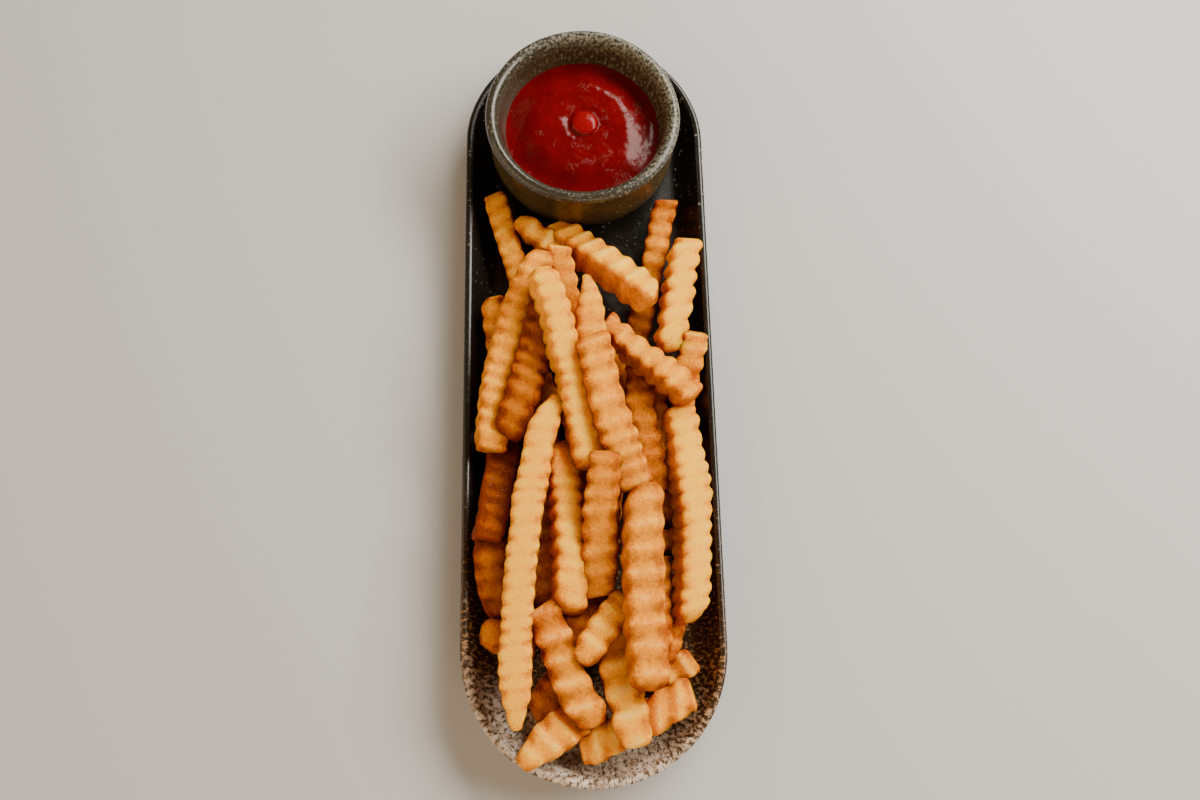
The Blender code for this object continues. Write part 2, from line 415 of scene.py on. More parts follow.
# Far ends that are bent aside, in millimetres: over what length and how far.
fryHooks = {
    "longest": {"length": 13.0, "shift": 2.8},
    "pointed": {"length": 9.0, "shift": -1.0},
    "rightPointed": {"length": 10.0, "shift": -1.6},
}


# How a fry is laid, in millimetres, waves and degrees.
fryForm = {
    "pathStep": 1.0,
    "skew": 0.42,                # how far the ridges cross askew, at most
    "shiftBelow": (0.2, 0.8),    # how far the ridges below are shifted against those on top
    "slant": 0.28,               # how far a section leans, at most
    "twist": 6,
}


# How a fry's measures drift along it: over how many millimetres, in which noise, and how far.
fryDrifts = {
    "aside": (16, 1, 0.90),
    "rise": (20, 2, 0.45),
    "pitch": (9, 3, 0.35),
    "width": (14, 4, 0.10),
    "height": (17, 5, 0.07),
    "sideDepth": (7, 6, 0.70),
    "topDepth": (7, 7, 0.70),
}


# What the tree is given, by the names of its inputs, and what is coarser on the fries beneath.
fryMeshing = {
    "Ring Step": 0.42 * mm,
    "Section Points": 56,
    "Corner Radius": 0.13,
    "Lump Size": 95.0,
    "Lump Height": 0.85 * mm,
    "Crust Size": 430.0,
    "Crust Height": 0.30 * mm,
    "Grain Size": 1300.0,
    "Grain Height": 0.16 * mm,
}
coarseMeshing = {"Ring Step": 0.7 * mm, "Section Points": 32}


# Each fry in millimetres: name, cut, browning from 0 to 2, which is raised as painted shade on
# the fries that lie deep or in shade, middle of its far end, middle of its near end, width, height,
# and from where it isn't usual: sideways bow, roll in degrees, far end and near end.
usualFry = (0, 0, "cut", "cut")
# The fries beneath get more browning, which stands for painted shade.
hiddenFries = (
    ("deepLeftFar", "even", 0.75, (-33.5, 31, 14.5), (-32, -3, 11), 9, 9),
    ("deepC1", "even", 0.7, (-23.5, 18, 9.5), (-14, -10, 9.5), 9, 9),
    ("deepC2", "even", 0.7, (6.5, 16, 9.5), (17.5, -9, 9.5), 9, 9),
    ("deepC3", "even", 0.7, (-6, -0.5, 9.5), (-3, -48, 9.5), 9, 9),
    ("deepC4", "even", 0.7, (7.5, -17, 9.5), (5.5, -64, 9.5), 9, 9),
    ("deepC5", "even", 0.7, (-15, -19, 11), (-16, -80.5, 12), 10, 9),
    ("deepR2", "even", 0.7, (28, -19, 9.5), (26, -52, 9.5), 9, 9),
    ("deepR3", "even", 0.7, (35.5, -56, 12.5), (20.5, -60.5, 9.5), 8, 8),
    ("deepR4", "even", 0.7, (24, -65, 12), (22, -98, 20), 7, 8),
    ("deepC8", "smooth", 0.8, (0.5, -76.5, 13), (-8, -97.5, 15), 12, 9),
    ("darkLeftLow", "smooth", 1.45, (-34.5, -59, 18.5), (-28.5, -86, 13.5), 13, 9.5, -2, -4, "cut", "round"),
    ("nearLeftStub", "even", 0.8, (-37.5, -89, 17.5), (-20, -93.5, 16), 12.5, 9, 0, 0, "wedge"),
    ("nearLeftDark", "smooth", 0.75, (-20, -117, 12), (-7, -102, 11.5), 13, 9, 0, 0, "wedge"),
)
fineFries = (
    ("rightStub", "jagged", 0.35, (38.5, 14.5, 22), (32.5, -11.5, 12.5), 10.4, 9),
    ("rightTop", "jagged", 0.0, (36, 51, 19), (29, 7.5, 20.5), 11.4, 10, 0, -12, "cut", "round"),
    ("bigDiagonal", "bumpy", 0.1, (-13, 59, 13), (23.5, 26, 26.5), 12.4, 11.2, 0, -30, "wedge", "round"),
    ("shortUpright", "fine", 0.1, (-10, 47.5, 22.5), (-6, 17, 12), 10, 9),
    ("longLeft", "smooth", 0.6, (-16, 44.5, 27), (-34.5, -28, 19.5), 11.6, 9, -4.5, -12, "wedge"),
    ("wideLeft", "jagged", 1.5, (-14.5, 29.5, 27.5), (-29.5, -23.5, 22.5), 13.2, 10, 2, -6, "cut", "round"),
    ("rightBackKnob", "fine", 0.6, (24, -3, 14), (25, -29.5, 17), 7.4, 8),
    ("rightLong", "fine", 0.0, (31, -12.5, 20), (32, -88, 19.5), 12.2, 10, 2.5, -20, "round", "round"),
    ("longCentre", "fine", 0.15, (-16.5, 34, 37), (0, -35.5, 25), 10.8, 10, 0.5, -12, "round"),
    ("middleLeft", "fine", 0.25, (-11, -25.5, 21), (-8, -84, 23), 11.2, 9, 1, -17, "wedge"),
    ("longest", "fine", 0.12, (-13, -9.5, 28), (-25, -122, 25), 11.2, 9.2, -5, -3, "hooked", "tip"),
)
evenFries = (
    ("farLeft", "smooth", 0.5, (-33.5, 73, 14), (-21.5, 28, 9.5), 9, 8.5, 0, 5),
    ("farRight", "even", 0.8, (31, 72, 10.5), (18, 16, 9.5), 9.6, 8.5),
    ("darkLeftMid", "smooth", 1.95, (-29.5, -22.5, 12), (-36, -60, 22.5), 11, 9, 0, -8),
    ("farKnob", "bumpy", 0.45, (-26, 61, 17), (-11, 49.5, 16.5), 8.0, 8.0, 0, 0, "round"),
    ("rightNear", "even", 0.55, (28, -82.5, 10), (24.5, -100.5, 16.5), 7.5, 8, 0, 0, "cut", "wedge"),
    ("rightPointed", "jagged", 0.85, (15.6, 4, 19.5), (22.5, -42, 14.5), 10.6, 9.5, 0, 0, "tip"),
    ("rightDiagonal", "jagged", 0.5, (6, 16.5, 24.5), (35.5, -12, 27), 10.2, 9.5, 0, -12),
    ("pointed", "smooth", 0.25, (0, 34.5, 29), (1.5, 0.5, 28.5), 10.2, 9, 0, 0, "tip"),
    ("slant", "even", 0.35, (11.5, -78.5, 19.5), (-4.5, -101, 25), 10.6, 9.0, 0, 0, "cut", "wedge"),
    ("centreTop", "even", 0.62, (0.5, 8.5, 36), (14.5, -43.5, 27), 13.0, 10, -1, -5),
    ("middle", "even", 0.85, (4.5, -32, 33), (2, -77.5, 19.5), 12, 10, 0, 8),
)
broadFries = (
    ("nearRightStub", "bumpy", 0.3, (33, -99, 11.5), (18.5, -106, 9.5), 10.2, 8.5),
    ("nearRightLong", "bumpy", 0.15, (32.5, -110.5, 16), (-4.5, -129, 13.5), 12.4, 9.5, 0, 0, "cut", "wedge"),
    ("nearLeftTip", "bumpy", 0.3, (-2.5, -114, 13), (-24.5, -133, 20.5), 13.0, 9.5, 0, 0, "cut", "hooked"),
    ("nearMid", "knobby", 0.2, (5, -83, 15.5), (14, -127.5, 23), 12.8, 10, -1, 0, "cut", "wedge"),
    ("nearLeftKnobby", "knobby", 0.65, (-18, -82, 21), (0, -121, 20), 13.2, 10, -1, 0, "cut", "round"),
    ("frontBig", "banded", 0.72, (17, -43, 32), (17.5, -110.5, 28), 13.2, 10.5, -1, -9, "round", "round"),
)


# One tree sweeps a ridged, rounded square along every path.

def buildFryTree():
    tree = bpy.data.node_groups.new("crinkleCutFries", "GeometryNodeTree")
    panel = tree.interface
    panel.new_socket("Geometry", in_out="INPUT", socket_type="NodeSocketGeometry")
    panel.new_socket("Geometry", in_out="OUTPUT", socket_type="NodeSocketGeometry")
    kinds = {name: "NodeSocketFloat" for name in fryMeshing}
    kinds["Section Points"] = "NodeSocketInt"
    kinds["Seed"] = "NodeSocketFloat"
    kinds["Material"] = "NodeSocketMaterial"
    ids = {}
    for name, kind in kinds.items():
        ids[name] = panel.new_socket(name, in_out="INPUT", socket_type=kind).identifier
    given = addNode(tree, "NodeGroupInput").outputs

    def read(name, kind="FLOAT"):
        node = addNode(tree, "GeometryNodeInputNamedAttribute", {"Name": name}, data_type=kind)
        return next(socket for socket in node.outputs if socket.enabled)

    def readVector(name):
        return read(name, "FLOAT_VECTOR")

    def marked(geometry, name, value, kind="FLOAT"):
        values = {"Geometry": geometry, "Name": name, "Value": value}
        return fromNode(tree, "GeometryNodeStoreNamedAttribute", values, data_type=kind, domain="POINT")

    def resampled(curve, mode, socket, value):
        return fromNode(tree, "GeometryNodeResampleCurve", {"Curve": curve, socket: value}, mode=mode)

    place = fromNode(tree, "GeometryNodeInputPosition")
    paths = fromNode(tree, "GeometryNodeMeshToCurve", {"Mesh": given["Geometry"]})
    paths = resampled(paths, "LENGTH", "Length", given["Ring Step"])
    paths = marked(paths, "pathPoint", place, "FLOAT_VECTOR")
    section = fromNode(tree, "GeometryNodeCurvePrimitiveQuadrilateral", {"Width": 1.0, "Height": 1.0})
    section = fromNode(
        tree, "GeometryNodeFilletCurve",
        {"Curve": section, "Count": 5, "Radius": given["Corner Radius"], "Limit Radius": True},
        mode="POLY")
    section = resampled(section, "COUNT", "Count", given["Section Points"])
    section = marked(section, "sectionPoint", place, "FLOAT_VECTOR")
    swept = fromNode(
        tree, "GeometryNodeCurveToMesh",
        {"Curve": paths, "Profile Curve": section, "Fill Caps": True})

    across, upward, _ = axes(tree, readVector("sectionPoint"))
    fromLeft = plus(tree, across, 0.5)
    fromBottom = plus(tree, upward, 0.5)
    turns = read("waveTurns")

    def between(low, high, factor):
        gap = minus(tree, high, low)
        return calc(tree, "MULTIPLY_ADD", gap, factor, low)

    # The ridges cross the fry a little askew, and those below are shifted against those on top.
    skewed = plus(tree, turns, between(read("phaseLeft"), read("phaseRight"), fromLeft))

    def ridges(shift):
        turned = times(tree, plus(tree, skewed, shift), 2 * math.pi)
        return calc(tree, "MULTIPLY_ADD", calc(tree, "COSINE", turned), -0.5, 0.5)

    def notched(swing):
        return calc(tree, "POWER", swing, read("fullness"))

    swingBelow, swingAbove = ridges(read("shiftBelow")), ridges(0.0)
    sideWave = between(notched(swingBelow), notched(swingAbove), fromBottom)
    topWave = between(swingBelow, swingAbove, fromBottom)
    # Near an end the section shrinks along a quarter circle, which rounds the cut edge.
    radius = read("endRound")
    near = calc(tree, "MINIMUM", read("arc"), minus(tree, read("fryLength"), read("arc")))
    inward = minus(tree, 1.0, calc(tree, "DIVIDE", near, radius), clamp=True)
    quarter = calc(tree, "SQRT", minus(tree, 1.0, calc(tree, "POWER", inward, 2.0)))
    trim = times(tree, radius, minus(tree, 1.0, quarter))

    def halfSize(sizeName, depthName, wave):
        notch = times(tree, read(depthName), minus(tree, 1.0, wave))
        cut = times(tree, plus(tree, notch, trim), 2.0)
        return minus(tree, read(sizeName), cut)

    sideReach = times(tree, across, halfSize("fryWidth", "sideDepth", sideWave))
    topReach = times(tree, upward, halfSize("fryHeight", "topDepth", topWave))
    slant = plus(
        tree, times(tree, sideReach, read("sideSlant")), times(tree, topReach, read("topSlant")))
    offset = vectorCalc(
        tree, "ADD", stretched(tree, readVector("sideways"), sideReach),
        stretched(tree, readVector("upwards"), topReach))
    offset = vectorCalc(tree, "ADD", offset, stretched(tree, readVector("along"), slant))
    target = vectorCalc(tree, "ADD", readVector("pathPoint"), offset)
    shaped = fromNode(tree, "GeometryNodeSetPosition", {"Geometry": swept, "Position": target})

    def roughened(geometry, size, height, detail):
        seed = plus(tree, given["Seed"], read("fryLength"))
        pattern = fromNode(
            tree, "ShaderNodeTexNoise",
            {"Vector": place, "W": seed, "Scale": size, "Detail": detail}, noise_dimensions="4D")
        push = times(tree, minus(tree, pattern, 0.5), height)
        offset = stretched(tree, fromNode(tree, "GeometryNodeInputNormal"), push)
        return fromNode(tree, "GeometryNodeSetPosition", {"Geometry": geometry, "Offset": offset})

    lumpy = roughened(shaped, given["Lump Size"], given["Lump Height"], 1.5)
    crusty = roughened(lumpy, given["Crust Size"], given["Crust Height"], 3.0)
    grainy = roughened(crusty, given["Grain Size"], given["Grain Height"], 2.0)
    crested = marked(grainy, "ridgeCrest", topWave)
    smooth = fromNode(tree, "GeometryNodeSetShadeSmooth", {"Geometry": crested, "Shade Smooth": True})
    real = fromNode(tree, "GeometryNodeRealizeInstances", {"Geometry": smooth})
    coated = fromNode(
        tree, "GeometryNodeSetMaterial", {"Geometry": real, "Material": given["Material"]})
    addNode(tree, "NodeGroupOutput", {"Geometry": coated})
    return tree, ids


def narrowing(end, distance):
    form = fryEnds[end]
    return form["scale"] ** (max(0.0, 1 - distance / form["reach"]) ** 1.5)


def layPath(row, store):
    # Adds one fry's path to the store, with all that the tree reads along it.
    name, cut, browning, far, near, width, height, *given = row
    bow, roll, farEnd, nearEnd = (*given, *usualFry[len(given):])
    draw = random.Random(name)
    cutForm = fryCuts[cut]
    hook = fryHooks.get(name, {"length": 1.0, "shift": 0.0})
    far = Vector(far)
    near = Vector(near)
    along = (near - far).normalized()
    level = along.cross(Vector((0, 0, 1))).normalized()
    length = (near - far).length
    count = max(8, round(length / fryForm["pathStep"]))
    start = draw.uniform(0, 100)
    phase = draw.uniform(0, 1)
    skew = draw.uniform(-fryForm["skew"], fryForm["skew"])
    shiftBelow = draw.uniform(*fryForm["shiftBelow"])
    slants = [draw.uniform(-fryForm["slant"], fryForm["slant"]) for _ in range(4)]
    twist = draw.uniform(-fryForm["twist"], fryForm["twist"])
    first = len(store["points"])
    turns = 0.0
    for i in range(count + 1):
        t = i / count
        arc = t * length

        def drift(measure):
            wave, seed, amount = fryDrifts[measure]
            return amount * noise.noise(Vector((arc / wave, start + seed, 0.5)))

        bent = hook["shift"] * max(0.0, 1 - arc / hook["length"]) ** 2
        aside = bow * 4 * t * (1 - t) + bent + drift("aside")
        middle = far.lerp(near, t) - level * aside + Vector((0, 0, drift("rise")))
        turn = Matrix.Rotation(math.radians(roll + twist * (t - 0.5)), 3, along)
        girth = narrowing(farEnd, arc) * narrowing(nearEnd, length - arc)
        turns += length / count / (cutForm["pitch"] * (1 + drift("pitch")))
        store["points"].append(middle * mm)
        store["vectors"].append({
            "sideways": turn @ level,
            "upwards": turn @ level.cross(along),
            "along": along,
        })
        store["values"].append({
            "fryWidth": width * girth * (1 + drift("width")) * mm,
            "fryHeight": height * girth * (1 + drift("height")) * mm,
            "sideDepth": cutForm["sideDepth"] * girth * (1 + drift("sideDepth")) * mm,
            "topDepth": cutForm["topDepth"] * girth * (1 + drift("topDepth")) * mm,
            "fullness": cutForm["fullness"],
            "waveTurns": turns,
            "arc": arc * mm,
            "fryLength": length * mm,
            "endRound": fryEnds[farEnd if t < 0.5 else nearEnd]["round"] * mm,
            "sideSlant": slants[0] + (slants[1] - slants[0]) * t,
            "topSlant": slants[2] + (slants[3] - slants[2]) * t,
            "browning": browning,
            "phaseLeft": phase,
            "phaseRight": phase + skew,
            "shiftBelow": shiftBelow,
        })
        if i:
            store["edges"].append((first + i - 1, first + i))


def fryPiece(name, rows, tree, ids, material, seed, coarse=False):
    store = {key: [] for key in ("points", "edges", "vectors", "values")}
    for row in rows:
        layPath(row, store)
    mesh = bpy.data.meshes.new(name + "Paths")
    mesh.from_pydata(store["points"], store["edges"], [])
    for key in store["vectors"][0]:
        vectors = [given[key] for given in store["vectors"]]
        setPointValues(mesh, key, vectors, "FLOAT_VECTOR", "vector")
    for key in store["values"][0]:
        setPointValues(mesh, key, [values[key] for values in store["values"]])
    holder = newObject(name + "Paths", mesh)
    sweep = holder.modifiers.new("sweep", "NODES")
    sweep.node_group = tree
    settings = {**fryMeshing, **(coarseMeshing if coarse else {}), "Seed": seed, "Material": material}
    for key, value in settings.items():
        sweep[ids[key]] = value
    evaluated = holder.evaluated_get(bpy.context.evaluated_depsgraph_get())
    finished = bpy.data.meshes.new_from_object(evaluated)
    finished.name = name
    bpy.data.objects.remove(holder, do_unlink=True)
    piece = newObject(name, finished)
    turnOutward(finished)
    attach(piece, "root")
    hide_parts("fries")
    return piece


gapShading = {
    "rays": 9,
    "seed": 5,
    "openness": 1.02,    # above 1, so that no ray points back into its own fry
    "reach": 20 * mm,
    "fading": 0.5,       # how much less a neighbour at full reach counts
    "lift": 0.3 * mm,
    "evenings": 14,
}


def shadeGaps(pieces, solids):
    # Marks how shut in each point of the fries is, by short rays to its neighbours, for the painted shade in
    # the gaps.
    points = []
    faces = []
    for body in pieces + solids:
        first = len(points)
        points.extend(map(tuple, readArray(body.data.vertices, "co", 3)))
        faces.extend(tuple(first + v for v in face.vertices) for face in body.data.polygons)
    tree = BVHTree.FromPolygons(points, faces)
    draw = random.Random(gapShading["seed"])
    rays = []
    for _ in range(gapShading["rays"]):
        rays.append(Vector([draw.gauss(0, 1) for _ in range(3)]).normalized())
    reach = gapShading["reach"]
    for piece in pieces:
        mesh = piece.data
        shut = np.zeros(len(mesh.vertices))
        places = readArray(mesh.vertices, "co", 3)
        normals = readArray(mesh.vertex_normals, "vector", 3)
        for i, (place, normal) in enumerate(zip(places, normals)):
            normal = Vector(normal)
            start = Vector(place) + normal * gapShading["lift"]
            total = 0.0
            for ray in rays:
                aim = (ray + normal * gapShading["openness"]).normalized()
                hit = tree.ray_cast(start, aim, reach)[3]
                if hit is not None:
                    total += 1 - gapShading["fading"] * hit / reach
            shut[i] = total / len(rays)
        edges = readArray(mesh.edges, "vertices", 2, np.int32)
        setPointValues(mesh, "shutIn", evened(shut, edges, gapShading["evenings"]))


def evened(values, edges, rounds):
    # Evens values out between the points that edges join.
    ends = np.concatenate((edges[:, 0], edges[:, 1]))
    others = np.concatenate((edges[:, 1], edges[:, 0]))
    share = np.bincount(ends, minlength=len(values)) + 1.0
    for _ in range(rounds):
        values = (values + np.bincount(ends, values[others], minlength=len(values))) / share
    return values


potatoLook = {
    # uneven patches: scale, low and high, and where they differ the place in the noise and its detail
    "patches": (150.0, 0.32, 0.68),
    "streaks": (420.0, 0.34, 0.66, 3.0),
    "grain": (1300.0, 0.36, 0.66, 5.0),
    "fine": (3000.0, 0.30, 0.70, 0.0, 2.0),
    "oilPatches": (60.0, 0.42, 0.72),
    "oilDots": (800.0, 0.52, 0.66),
    # sums: how much each part counts, and the level that counts as none
    "outwardParts": {"patches": (0.14, 0.5), "streaks": (0.10, 0.5), "crest": (-0.09, 0.5)},
    # the crust sum holds real browning and painted shade where the fries are shut in
    "crustAndShadeParts": {
        "browning": (0.50, 0.12), "shut": (0.42, 0.08), "flank": (0.30, 0.0), "end": (0.18, 0.0),
        "crestMark": (-0.24, 0.0), "patches": (0.18, 0.5), "streaks": (0.12, 0.5)},
    "grainParts": {"grain": (-0.21, 0.5), "fine": (-0.16, 0.5)},
    "heightParts": {"grain": (0.6, 0.0), "fine": (0.4, 0.0)},
    "crestMiddle": 0.55,
    "oil": 0.30,
    # spans: from low to high and, where it isn't 0 to 1, what they become
    "crestByDepth": (0.0, 0.7 * mm, 0.3, 1.0),
    # the browner flanks are partly crisper crust, partly painted shade on the sides
    "flank": (0.22, 0.48),
    "end": (0.0, 3.6 * mm, 1.0, 0.0),
    "grainByBrowning": (0.5, 1.3, 1.0, 0.45),
    # pale crests: partly paler potato, partly painted highlight
    "paleByCrest": (0.16, 0.40),
    "paleByPlace": (0.95, 0.45),
    "paleByBrowning": (0.4, 1.3, 0.55, 0.0),
    # painted shade: the shut-in gaps turn orange, then red
    "gapOrange": (0.14, 0.50),
    "gapRed": (0.58, 1.00),
    "roughness": (0.0, 1.0, 0.36, 0.54),
    # colours
    "crustAndShadeColours": (
        (0.00, (0.980, 0.480, 0.022)), (0.16, (0.900, 0.368, 0.002)),
        (0.38, (0.690, 0.245, 0.0008)), (0.58, (0.480, 0.144, 0.0004)),
        (0.80, (0.315, 0.068, 0.0004)), (1.00, (0.170, 0.023, 0.0005))),
    "paleCrestAndHighlight": (0.97, 0.60, 0.17),
    # tints for the painted shade in the gaps
    "gapShadeOrange": (1.0, 0.90, 0.72),
    "gapShadeRed": (1.0, 0.56, 0.45),
    "shader": {
        "Specular IOR Level": 0.08, "Specular Tint": (1.0, 0.66, 0.22, 1.0),
        "Coat Roughness": 0.22, "Subsurface Weight": 0.85,
        "Subsurface Radius": (1.0, 0.36, 0.08),
        "Subsurface Scale": 5.0 * mm},
    "bump": {"Strength": 0.9, "Distance": 0.28 * mm},
}


def friedPotato():
    look = potatoLook
    material, tree, shader = newMaterial("friedPotato")
    coords = objectCoords(tree)
    parts = {}

    def band(value, name):
        return span(tree, value, *look[name])

    def added(name, start=None):
        total = start
        for part, (amount, middle) in look[name].items():
            share = times(tree, minus(tree, parts[part], middle), amount)
            total = share if total is None else plus(tree, total, share)
        return total

    for name in ("patches", "streaks", "grain", "fine"):
        parts[name] = noiseMask(tree, coords, *look[name])
    parts["browning"] = attribute(tree, "browning")
    # How shut in each point is: it drives the painted shade in the gaps.
    parts["shut"] = attribute(tree, "shutIn")
    parts["crest"] = attribute(tree, "ridgeCrest")
    # Ridges that stand out more on top are also paler on their crests: partly paler potato, partly painted
    # highlight.
    parts["crestMark"] = times(
        tree, minus(tree, parts["crest"], look["crestMiddle"]),
        band(attribute(tree, "topDepth"), "crestByDepth"))
    across = axes(tree, attribute(tree, "sectionPoint", "Vector"))[0]
    # The flanks are browner: partly crisper crust, partly painted shade on the sides.
    outward = added("outwardParts", calc(tree, "ABSOLUTE", across))
    parts["flank"] = band(outward, "flank")
    arc = attribute(tree, "arc")
    toEnd = calc(tree, "MINIMUM", arc, minus(tree, attribute(tree, "fryLength"), arc))
    parts["end"] = band(toEnd, "end")
    # The grain shows less on the darker fries.
    crustAndShade = calc(
        tree, "MULTIPLY_ADD", added("grainParts"), band(parts["browning"], "grainByBrowning"),
        added("crustAndShadeParts"))
    # Pale to deep red: real browning, and painted shade where the fries lie shut in or in shade.
    colour = ramp(tree, crustAndShade, look["crustAndShadeColours"])
    # Pale crests on the middle of the top: partly paler potato, partly painted highlight.
    place = plus(tree, parts["streaks"], outward)
    pale = times(tree, band(parts["crestMark"], "paleByCrest"), band(place, "paleByPlace"))
    pale = times(tree, pale, band(parts["browning"], "paleByBrowning"))
    colour = mixColour(tree, pale, colour, look["paleCrestAndHighlight"])
    # Painted shade in the gaps: the colour is tinted orange, then red, where light would arrive through the
    # potato.
    colour = mixColour(tree, band(parts["shut"], "gapOrange"), colour, look["gapShadeOrange"], "MULTIPLY")
    colour = mixColour(tree, band(parts["shut"], "gapRed"), colour, look["gapShadeRed"], "MULTIPLY")
    oily = times(
        tree, noiseMask(tree, coords, *look["oilPatches"]),
        noiseMask(tree, coords, *look["oilDots"]))
    paint(tree, shader, {
        "Base Color": colour,
        "Roughness": band(parts["patches"], "roughness"),
        "Coat Weight": times(tree, oily, look["oil"]),
        "Normal": bumped(tree, added("heightParts"), look["bump"]),
        **look["shader"]})
    return material


def makeFries(solids):
    tree, ids = buildFryTree()
    potato = friedPotato()
    pieces = [
        fryPiece("fineCutFries", fineFries, tree, ids, potato, 1.0),
        fryPiece("evenCutFries", evenFries, tree, ids, potato, 4.0),
        fryPiece("broadCutFries", broadFries, tree, ids, potato, 2.0),
        fryPiece("friesBeneath", hiddenFries, tree, ids, potato, 3.0, coarse=True),
    ]
    for piece in pieces:
        print(piece.name, len(piece.data.loop_triangles), "triangles")
    shadeGaps(pieces, solids)


# The plate.

plateForm = {
    "width": 90 * mm,
    "length": 281 * mm,
    "floorHeight": 4.6 * mm,
    "lipHeight": 15.8 * mm,
    "lipWidth": 2.8 * mm,
    "wallTop": 15.0 * mm,
    "wallRun": 9.0 * mm,
    "wallPoints": 5,
    # foot and outer wall, in millimetres: how far in from the edge, and how high
    "outside": ((13.0, 0.0), (12.3, 0.3), (11.2, 1.4), (6.0, 3.6), (2.8, 7.6), (0.8, 12.4), (0.0, 14.6)),
    # lip, in millimetres: how far in from the edge, and how far below the lip's height
    "lip": ((0.5, 0.25), (1.4, 0.0), (2.3, 0.25)),
    "endSteps": 84,
    "sideSteps": 70,
    "profileSteps": 5,
    "floorRings": 9,
    "middleSeam": 0.6 * mm,
    "unevenness": 0.22 * mm,
    "unevenReach": 20 * mm,
    "unevenSeed": 3,
}


plateLook = {
    # nearness grows from the dark pot end to the pale near end, sooner on the left, with a drift
    "leanLeft": 0.20,
    "driftNoise": {"Scale": 55.0, "Detail": 4.0},
    "drift": 0.045,
    # spans of nearness, and what they become
    "fleckLimit": (0.020, 0.105, 0.655, 0.500),
    "fleckLimitNear": (0.102, 0.130, 0.0, 0.070),
    "brownGround": (0.030, 0.090),
    "nearGround": (0.105, 0.132),
    "nearFlecks": (0.098, 0.128),
    # patterns and colours
    "fleckNoise": {"Scale": 950.0, "Detail": 5.0, "Roughness": 0.74},
    "fleckContrast": 13.0,
    "drawnOut": 0.38,
    "floorEdge": (8.5 * mm, 12.5 * mm),
    "brownFlecks": (300.0, 0.42, 0.66),
    "blackColour": (0.0095, 0.0078, 0.0060),
    "brownColour": (0.030, 0.0130, 0.0042),
    "nearColour": (0.085, 0.050, 0.025),
    "fleckColour": (0.340, 0.155, 0.035),
    "nearFleckColour": (0.620, 0.530, 0.440),
    "brownFleckColour": (0.290, 0.180, 0.095),
    "dots": {"scale": 420.0, "size": 0.25},
    "dotsByPlace": (15 * mm, 100 * mm, 0.08, 0.83),
    "dotColour": (0.20, 0.19, 0.15),
    "cloudy": (300.0, 0.3, 0.7),
    "roughness": (0.0, 1.0, 0.20, 0.32),
    "swells": (110.0, 0.2, 0.8),
    "fleckHeight": 0.5,
    "swellHeight": 0.8,
    "shader": {"Specular IOR Level": 0.40},
    "bump": {"Strength": 0.35, "Distance": 0.16 * mm},
}


def specks(tree, coords, scale, size):
    # Small irregular dots: the middles of some Voronoi cells, broken up by noise.
    wobble = addNode(
        tree, "ShaderNodeTexNoise", {"Vector": coords, "Scale": scale * 2.2, "Detail": 2.0},
        noise_dimensions="4D")
    shift = vectorCalc(tree, "SUBTRACT", wobble.outputs["Color"], (0.5, 0.5, 0.5))
    moved = vectorCalc(tree, "ADD", coords, stretched(tree, shift, 0.8 / scale))
    cells = addNode(tree, "ShaderNodeTexVoronoi", {"Vector": moved, "Scale": scale})
    radius = times(tree, axes(tree, cells.outputs["Color"])[0], size)
    return calc(tree, "LESS_THAN", cells.outputs["Distance"], radius)


def plateGlaze():
    look = plateLook
    material, tree, shader = newMaterial("plateGlaze")
    coords = objectCoords(tree)
    x, y, _ = axes(tree, coords)
    nearness = plus(
        tree, times(tree, y, -1.0), times(tree, x, -look["leanLeft"]))
    drift = minus(tree, cloud(tree, coords, look["driftNoise"]), 0.5)
    nearness = plus(tree, nearness, times(tree, drift, look["drift"]))

    def zone(name):
        return span(tree, nearness, *look[name])

    # The flecks are round on the floor and drawn out on the walls.
    flat = cloud(tree, coords, look["fleckNoise"])
    drawn = cloud(tree, drawnOutUv(tree, look["drawnOut"]), look["fleckNoise"])
    onFloor = span(tree, attribute(tree, "inset"), *look["floorEdge"])
    # They are rare at the pot and run together at the near end.
    least = minus(tree, zone("fleckLimit"), zone("fleckLimitNear"))
    mottle = flecked(tree, mixColour(tree, onFloor, drawn, flat), least, look["fleckContrast"])
    ground = mixColour(tree, zone("brownGround"), look["blackColour"], look["brownColour"])
    ground = mixColour(tree, zone("nearGround"), ground, look["nearColour"])
    fleck = mixColour(tree, zone("nearFlecks"), look["fleckColour"], look["nearFleckColour"])
    brown = noiseMask(tree, coords, *look["brownFlecks"])
    fleck = mixColour(tree, brown, fleck, look["brownFleckColour"])
    colour = mixColour(tree, mottle, ground, fleck)
    dots = times(
        tree, specks(tree, coords, **look["dots"]), span(tree, y, *look["dotsByPlace"]))
    height = plus(
        tree, times(tree, mottle, look["fleckHeight"]),
        times(tree, noiseMask(tree, coords, *look["swells"]), look["swellHeight"]))
    paint(tree, shader, {
        "Base Color": mixColour(tree, dots, colour, look["dotColour"]),
        "Roughness": span(tree, noiseMask(tree, coords, *look["cloudy"]), *look["roughness"]),
        "Normal": bumped(tree, height, look["bump"]),
        **look["shader"]})
    return material


def plateProfile():
    form = plateForm
    points = [(inset * mm, height * mm) for inset, height in form["outside"]]
    points += [(inset * mm, form["lipHeight"] - drop * mm) for inset, drop in form["lip"]]
    for i in range(form["wallPoints"] + 1):
        run = i / form["wallPoints"]
        rise = (1 - run) ** 2
        height = form["floorHeight"] + (form["wallTop"] - form["floorHeight"]) * rise
        points.append((form["lipWidth"] + form["wallRun"] * run, height))
    return smoothThrough(points, form["profileSteps"])


